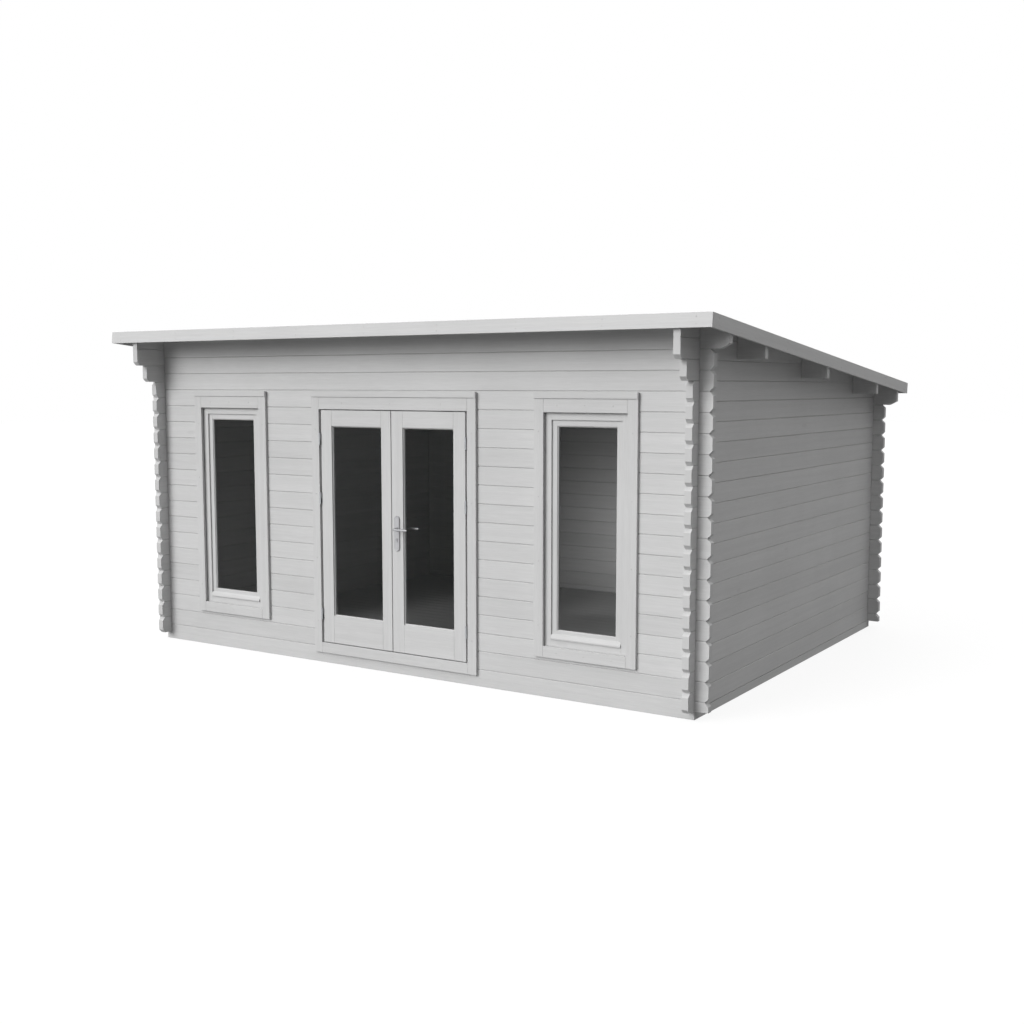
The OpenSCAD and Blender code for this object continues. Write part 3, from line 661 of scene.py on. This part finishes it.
def lever(bm, spindle, plate_face, out, reach, tip_y):
    """A curved lever from its hub on the plate to its rounded tip."""
    arm = abs(tip_y - plate_face) - LEVER_R
    hub = [(0.0115, 0.0006), (0.0115, 0.004), (0.0102, 0.0075), (LEVER_R, 0.0105)]
    lathe(bm, hub, facing((spindle.x, plate_face, spindle.z), (0, out, 0)), 28)
    run = [
        (0.0, 0.001), (0.0, 0.012), (0.0, arm - 0.015), (0.0009, arm - 0.0085), (0.0038, arm - 0.0036),
        (0.0090, arm - 0.0008), (0.017, arm), (0.034, arm - 0.0004), (0.058, arm - 0.0016),
        (0.082, arm - 0.0026), (0.102, arm - 0.0028), (reach - 0.010, arm - 0.0020),
        (reach - 0.005, arm - 0.0018), (reach - 0.0018, arm - 0.0017), (reach - 0.0003, arm - 0.0017),
    ]
    girth = [
        (0.008, 0.008), (0.0076, 0.0076), (0.0076, 0.0076), (0.0078, 0.0078), (0.0078, 0.008),
        (0.0076, 0.0082), (0.0072, 0.0082), (0.0068, 0.008), (0.0064, 0.0078), (0.0062, 0.0078),
        (0.0062, 0.0079), (0.0062, 0.0079), (0.0054, 0.0070), (0.0036, 0.0048), (0.0010, 0.0014),
    ]
    path = [Vector((spindle.x + a, plate_face + out * d, spindle.z)) for a, d in run]
    swept(bm, path, girth)


# stage


def room_light(scene, stage):
    """A soft light inside the room, turned to the rear wall."""
    glow = bpy.data.lights.new("room_light", "AREA")
    glow.energy = stage.room
    glow.size = 0.6
    glow.spread = math.radians(85.0)
    lamp = bpy.data.objects.new("room_light", glow)
    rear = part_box("rear_logs")[0].y
    lamp.location = (0.3, rear - 1.4, 0.45)
    aim = Vector((0.25, rear, 0.66)) - lamp.location
    lamp.rotation_euler = aim.to_track_quat("-Z", "Y").to_euler()
    lamp.visible_camera = False
    lamp.visible_glossy = False
    scene.collection.objects.link(lamp)


def studio_floor(stage):
    """A pale floor that meets the white background and keeps the cabin's shadow."""
    s = Shade("studio_floor")
    path = s.add("ShaderNodeLightPath").outputs
    glow = s.calc("MULTIPLY", seen_directly(s, path), 0.86)
    tone = s.mix("MIX", s.noise(s.place(), 0.6, 2.0), darker(stage.floor, 0.99), stage.floor)
    s.finish(Base_Color=tone, Roughness=0.9, Emission_Color=(1.0, 1.0, 1.0), Emission_Strength=glow)
    bm = bmesh.new()
    bmesh.ops.create_circle(bm, cap_ends=True, segments=96, radius=60.0)
    mesh = bpy.data.meshes.new("studio_floor")
    bm.to_mesh(mesh)
    bm.free()
    mesh.materials.append(s.material)
    floor = bpy.data.objects.new("studio_floor", mesh)
    floor.location = (0, 0, -0.001)
    bpy.context.scene.collection.objects.link(floor)


def seen_directly(s, path):
    """One for rays that the eye, a gloss or a pane sends out, nothing for light that bounces."""
    either = s.calc("MAXIMUM", path["Is Camera Ray"], path["Is Glossy Ray"])
    return s.calc("MAXIMUM", either, path["Is Transmission Ray"])


def sky_light(scene, stage):
    """Light that is stronger from above, on a background that shows white."""
    world = bpy.data.worlds.new("studio_sky")
    world.use_nodes = True
    scene.world = world
    s = Nodes(world.node_tree)
    path = s.add("ShaderNodeLightPath").outputs
    rise = s.part(s.add("ShaderNodeTexCoord").outputs["Generated"], Z)
    by_height = s.remap(rise, 0.1, 0.95, stage.sky_low, stage.sky_high)
    strength = s.calc("MAXIMUM", by_height, seen_directly(s, path))
    light = s.add("ShaderNodeBackground", {"Color": (1.0, 1.0, 1.0), "Strength": strength})
    out = s.add("ShaderNodeOutputWorld")
    s.tree.links.new(light.outputs[0], out.inputs[0])


# operators


class CABIN_OT_paint_logs(bpy.types.Operator):
    """Paint the logs, purlins and base beams"""

    bl_idname = "cabin.paint_logs"
    bl_label = "Paint the logs"

    def execute(self, context):
        side_walls = ("left_logs", "right_logs")
        for node in LOG_NODES:
            first = BASE_H if node in side_walls else BASE_H - LOG_H / 2
            dress(node, "logs", first_course=first)
        return {"FINISHED"}


class CABIN_OT_paint_trim(bpy.types.Operator):
    """Paint the windows, jambs, inner casings and the boards round the roof"""

    bl_idname = "cabin.paint_trim"
    bl_label = "Paint the trim"

    def execute(self, context):
        pitch = roof_matrix()[1]
        for node in TRIM_NODES:
            dress(node, "trim", tilt=pitch if "barge" in node else 0.0)
        return {"FINISHED"}


class CABIN_OT_joint_boards(bpy.types.Operator):
    """Make the casings, stiles and rails from boards with eased edges, so that their joints show"""

    bl_idname = "cabin.joint_boards"
    bl_label = "Joint the casings and leaves"

    def execute(self, context):
        ease = context.scene.cabin_boards.ease
        for node, (body, kind) in BOARDED.items():
            bm = bmesh.new()
            for lo, hi in solid_boxes(node):
                upright = hi.z - lo.z > hi.x - lo.x
                board(bm, lo, hi, ease, mark=1 if upright else 0, steps=2)
            name = node.replace("_frame", "_stiles_and_rails").replace("_casing", "_casing_boards")
            new_piece(name, bm, body, [finish_of(kind, X), finish_of(kind, Z)], [node])
        return {"FINISHED"}


class CABIN_OT_glaze(bpy.types.Operator):
    """Finish the panes and bed each one in mitred glazing beads, outside and inside"""

    bl_idname = "cabin.glaze"
    bl_label = "Glaze the doors and windows"

    def execute(self, context):
        width = context.scene.cabin_boards.bead
        for node, body in PANES.items():
            coat(node, finish_of("glass"))
            lo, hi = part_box(node)
            inset = PANE_IN_GROOVE
            opening = (lo.x + inset, hi.x - inset, lo.z + inset, hi.z - inset)
            bm = bmesh.new()
            for y, s in ((lo.y, -1), (hi.y, 1)):
                section = [(-0.0006, s * 0.0002), (width, s * 0.0002), (width, s * 0.0025),
                           (width * 0.75, s * 0.0055), (width * 0.35, s * 0.0075), (-0.0006, s * 0.008)]
                mitred(bm, *opening, y, section)
            slot = "door_timber" if "door" in node else "trim_timber"
            kind = "doors" if "door" in node else "trim"
            new_piece(node.replace("glass", "glazing_beads"), bm, body, [finish_of(kind, Z)])
        return {"FINISHED"}


class CABIN_OT_lay_floor(bpy.types.Operator):
    """Lay the floor in chamfered boards that butt over the joists"""

    bl_idname = "cabin.lay_floor"
    bl_label = "Lay the floor boards"

    def execute(self, context):
        sizes = context.scene.cabin_boards
        lo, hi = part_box("floor_boards")
        rows = round((hi.y - lo.y) / sizes.floor_board)
        step = (hi.y - lo.y) / rows
        middles = sorted((a.x + b.x) / 2 for a, b in solid_boxes("floor_joists"))
        draw = random.Random(7)
        bm = bmesh.new()
        for k in range(rows):
            butt = draw.choice(middles[1:-1])
            y0, y1 = lo.y + k * step + 0.0003, lo.y + (k + 1) * step - 0.0003
            for x0, x1 in ((lo.x, butt - 0.0004), (butt + 0.0004, hi.x)):
                board(bm, (x0, y0, lo.z), (x1, y1, hi.z), sizes.joint)
        new_piece("floor_planks", bm, "cabin", [finish_of("floor", X)], ["floor_boards"])
        return {"FINISHED"}


class CABIN_OT_board_roof(bpy.types.Operator):
    """Board the roof with narrow V-jointed boards that run down the slope"""

    bl_idname = "cabin.board_roof"
    bl_label = "Board the roof"

    def execute(self, context):
        sizes = context.scene.cabin_boards
        turn, pitch = roof_matrix()
        lo, hi = roof_box("roof_boards", turn)
        count = round((hi.x - lo.x) / sizes.roof_board)
        step = (hi.x - lo.x) / count
        bm = bmesh.new()
        for k in range(count):
            x0, x1 = lo.x + k * step + 0.0002, lo.x + (k + 1) * step - 0.0002
            board(bm, (x0, lo.y, lo.z), (x1, hi.y, hi.z), sizes.joint, turn)
        new_piece("roof_planks", bm, "cabin", [finish_of("trim", Y, pitch)], ["roof_boards"])
        return {"FINISHED"}


class CABIN_OT_felt_roof(bpy.types.Operator):
    """Cover the roof in lapped strips of mineral felt, nailed along their lower edges"""

    bl_idname = "cabin.felt_roof"
    bl_label = "Felt the roof"

    def execute(self, context):
        sizes = context.scene.cabin_boards
        turn = roof_matrix()[0]
        lo, hi = roof_box("roof_covering", turn)
        ply = (hi.z - lo.z) / 2
        count = math.ceil((hi.y - lo.y) / sizes.felt_strip)
        shown = (hi.y - lo.y) / count
        draw = random.Random(11)
        bm = bmesh.new()
        for k in range(count):
            top, foot = lo.y + k * shown, lo.y + (k + 1) * shown
            last = k == count - 1
            end = foot if last else foot + sizes.felt_lap
            bend = foot - 0.02
            lift = 0.0 if last else ply
            spine = [(top, 0.0), (bend, 0.0)] + ([(foot, 0.0)] if last else [(foot + 0.01, lift), (end, lift)])
            section = [(y, lo.z + z) for y, z in spine] + [(y, lo.z + z + ply) for y, z in reversed(spine)]
            felt_strip(bm, lo.x, hi.x, section, turn, draw)
            if not last:
                nails = int((hi.x - lo.x) / sizes.nail_step)
                for m in range(nails):
                    x = lo.x + (m + 0.5) * (hi.x - lo.x) / nails
                    spot = Vector((x, end - 0.022 + draw.uniform(-0.003, 0.003), lo.z + 2 * ply))
                    normal = turn.to_3x3() @ Vector((0, 0, 1))
                    nail = [(0.005, -0.001), (0.005, 0.0004), (0.0035, 0.0009), (0.0, 0.001)]
                    lathe(bm, nail, facing(turn @ spot, normal), 10, 1)
        finishes = [finish_of("felt"), finish_of("zinc")]
        new_piece("felt_strips", bm, "cabin", finishes, ["roof_covering"])
        return {"FINISHED"}


class CABIN_OT_fix_boards(bpy.types.Operator):
    """Fix the boards round the roof and the casings with screws"""

    bl_idname = "cabin.fix_boards"
    bl_label = "Fix the boards"

    def execute(self, context):
        sizes = context.scene.cabin_boards
        r, edge_gap = sizes.screw, sizes.screw_edge
        turn = roof_matrix()[0]
        bm = bmesh.new()
        for node, edge in (("front_fascia", 0), ("rear_fascia", 1)):
            lo, hi = roof_box(node, turn)
            y = (lo.y, hi.y)[edge]
            normal = turn.to_3x3() @ Vector((0, (-1, 1)[edge], 0))
            for k in range(9):
                x = lo.x + 0.1 + k * (hi.x - lo.x - 0.2) / 8
                for z in (lo.z + edge_gap, hi.z - edge_gap):
                    screw_head(bm, turn @ Vector((x, y, z)), normal, r)
        for node, edge in (("left_barge_board", 0), ("right_barge_board", 1)):
            lo, hi = roof_box(node, turn)
            x = (lo.x, hi.x)[edge]
            for k in range(8):
                y = lo.y + 0.08 + k * (hi.y - lo.y - 0.16) / 7
                for z in (lo.z + edge_gap, hi.z - edge_gap):
                    screw_head(bm, turn @ Vector((x, y, z)), ((-1, 1)[edge], 0, 0), r)
        for node in ("left_window_casing", "right_window_casing", "door_casing"):
            for lo, hi in solid_boxes(node):
                size = hi - lo
                if size.z < 0.05:
                    continue
                upright = size.z > size.x
                count = 4 if upright else 3
                for k in range(count):
                    share = (k + 0.5) / count
                    x = lo.x + size.x * (0.5 if upright else share)
                    z = lo.z + size.z * (share if upright else 0.5)
                    screw_head(bm, (x, lo.y, z), (0, -1, 0), r)
        new_piece("board_screws", bm, "cabin", [finish_of("trim", X)])
        return {"FINISHED"}


class CABIN_OT_fit_hinges(bpy.types.Operator):
    """Plate the hinges and cap the ends of their knuckles"""

    bl_idname = "cabin.fit_hinges"
    bl_label = "Fit the hinges"

    def execute(self, context):
        for node in HINGE_NODES:
            coat(node, finish_of("zinc", Z))
        for side in ("left", "right"):
            pin = next(j for j in frame["joints"] if j["name"] == f"{side}_door_hinge")["pos_m"]
            halves = ((f"{side}_frame_hinges", "cabin", -1), (f"{side}_leaf_hinges", f"{side}_door", 1))
            for node, body, up in halves:
                bm = bmesh.new()
                for lo, hi in solid_boxes(node):
                    z = hi.z if up > 0 else lo.z
                    r = pin[1] - lo.y
                    cap = [(r, 0.0), (1.04 * r, 0.0006), (1.04 * r, 0.0016), (0.8 * r, 0.003),
                           (0.5 * r, 0.0036), (0.4 * r, 0.0050), (0.0, 0.0058)]
                    lathe(bm, cap, facing((pin[0], pin[1], z), (0, 0, up)), 20)
                name = f"{side}_{body.split('_')[-1]}_hinge_caps"
                new_piece(name, bm, body, [finish_of("zinc", Z)])
        return {"FINISHED"}


class CABIN_OT_fit_handle(bpy.types.Operator):
    """Fit the handle: dished plates with screws and a lock, and curved levers on collars"""

    bl_idname = "cabin.fit_handle"
    bl_label = "Fit the door handle"

    def execute(self, context):
        lo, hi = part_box("handle_levers")
        spindle = Vector((lo.x + LEVER_R, (lo.y + hi.y) / 2, (lo.z + hi.z) / 2))
        steel = [finish_of("steel", Z), finish_of("zinc", Z)]
        bm = bmesh.new()
        arms = bmesh.new()
        for a, b in solid_boxes("handle_plates"):
            outer = b.y < spindle.y
            out, back, face = (-1, b.y, a.y) if outer else (1, a.y, b.y)
            handle_plate(bm, (a + b) / 2, b - a, back, out, spindle)
            lever(arms, spindle, face, out, hi.x - spindle.x, (lo.y if outer else hi.y))
        new_piece("handle_back_plates", bm, "right_door", steel, ["handle_plates"])
        new_piece("lever_handles", arms, "handle", [finish_of("steel", X)], ["handle_levers"])
        return {"FINISHED"}


class CABIN_OT_set_stage(bpy.types.Operator):
    """Set the studio floor, the light and the camera"""

    bl_idname = "cabin.set_stage"
    bl_label = "Set the stage"

    def execute(self, context):
        scene = context.scene
        stage = scene.cabin_stage
        studio_floor(stage)
        sun = bpy.data.lights.new("main_light", "SUN")
        sun.energy = stage.sun
        sun.angle = stage.sun_width
        lamp = bpy.data.objects.new("main_light", sun)
        lamp.rotation_euler = Vector(stage.sun_way).to_track_quat("-Z", "Y").to_euler()
        scene.collection.objects.link(lamp)
        room_light(scene, stage)
        sky_light(scene, stage)
        eye = bpy.data.cameras.new("camera")
        eye.lens = stage.lens
        eye.sensor_width = 36.0
        eye.clip_end = 200.0
        camera = bpy.data.objects.new("camera", eye)
        camera.location = stage.camera_at
        camera.rotation_euler = (math.pi / 2 - stage.camera_tilt, 0.0, stage.camera_turn)
        scene.collection.objects.link(camera)
        scene.camera = camera
        scene.view_settings.view_transform = "Standard"
        return {"FINISHED"}


class CABIN_PT_dress(bpy.types.Panel):
    """Lists the cabin's finishes, boards and stage"""

    bl_label = "Log cabin"
    bl_idname = "CABIN_PT_dress"
    bl_space_type = "VIEW_3D"
    bl_region_type = "UI"
    bl_category = "Cabin"

    def draw(self, context):
        scene = context.scene
        for title, group in (("Paint", scene.cabin_paint), ("Boards", scene.cabin_boards),
                             ("Stage", scene.cabin_stage)):
            box = self.layout.box()
            box.label(text=title)
            for key in group.__annotations__:
                box.prop(group, key)
        for operator in OPERATORS:
            self.layout.operator(operator.bl_idname)


GROUPS = {"cabin_paint": CabinPaint, "cabin_boards": CabinBoards, "cabin_stage": CabinStage}
OPERATORS = [
    CABIN_OT_paint_logs, CABIN_OT_paint_trim, CABIN_OT_joint_boards, CABIN_OT_glaze,
    CABIN_OT_lay_floor, CABIN_OT_board_roof, CABIN_OT_felt_roof, CABIN_OT_fix_boards,
    CABIN_OT_fit_hinges, CABIN_OT_fit_handle, CABIN_OT_set_stage,
]


def register():
    for name, group in GROUPS.items():
        bpy.utils.register_class(group)
        setattr(bpy.types.Scene, name, PointerProperty(type=group))
    for cls in OPERATORS + [CABIN_PT_dress]:
        bpy.utils.register_class(cls)


def unregister():
    for cls in reversed(OPERATORS + [CABIN_PT_dress]):
        bpy.utils.unregister_class(cls)
    for name, group in GROUPS.items():
        delattr(bpy.types.Scene, name)
        bpy.utils.unregister_class(group)


def main():
    register()
    bpy.ops.cabin.paint_logs()
    bpy.ops.cabin.paint_trim()
    bpy.ops.cabin.joint_boards()
    bpy.ops.cabin.glaze()
    bpy.ops.cabin.lay_floor()
    bpy.ops.cabin.board_roof()
    bpy.ops.cabin.felt_roof()
    bpy.ops.cabin.fix_boards()
    bpy.ops.cabin.fit_hinges()
    bpy.ops.cabin.fit_handle()
    bpy.ops.cabin.set_stage()


if __name__ == "__main__":
    main()
